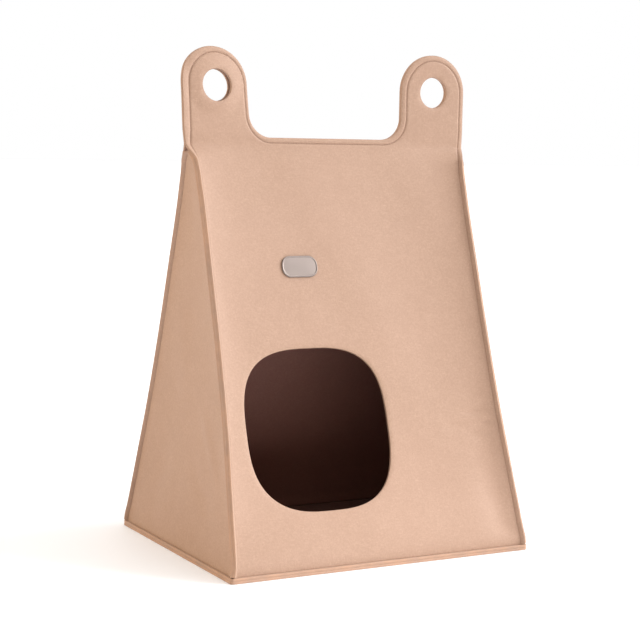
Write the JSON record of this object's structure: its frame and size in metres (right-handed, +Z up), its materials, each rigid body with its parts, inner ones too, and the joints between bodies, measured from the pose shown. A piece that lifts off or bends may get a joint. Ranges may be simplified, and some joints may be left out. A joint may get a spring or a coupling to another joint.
{
  "type": "felt cat cave",
  "caption": "Tapered felt cat house sewn with its raw edges outward, with pierced ears along the top edge, a rounded doorway and a blank metal badge above it.",
  "frame": {"origin": "middle of the underside of the base, on the floor", "axes": "+X to the right of someone who faces the doorway, +Y from the doorway to the back, +Z up"},
  "size_m": [0.3872, 0.3148, 0.5813],
  "materials": {
    "beige_felt": "matte needled felt",
    "badge_metal": "satin, blank"
  },
  "bodies": {
    "root": {"front_panel": "beige_felt", "back_panel": "beige_felt", "gusset_left": "beige_felt", "gusset_right": "beige_felt", "base_panel": "beige_felt", "badge_plate": "badge_metal"}
  },
  "joints": []
}
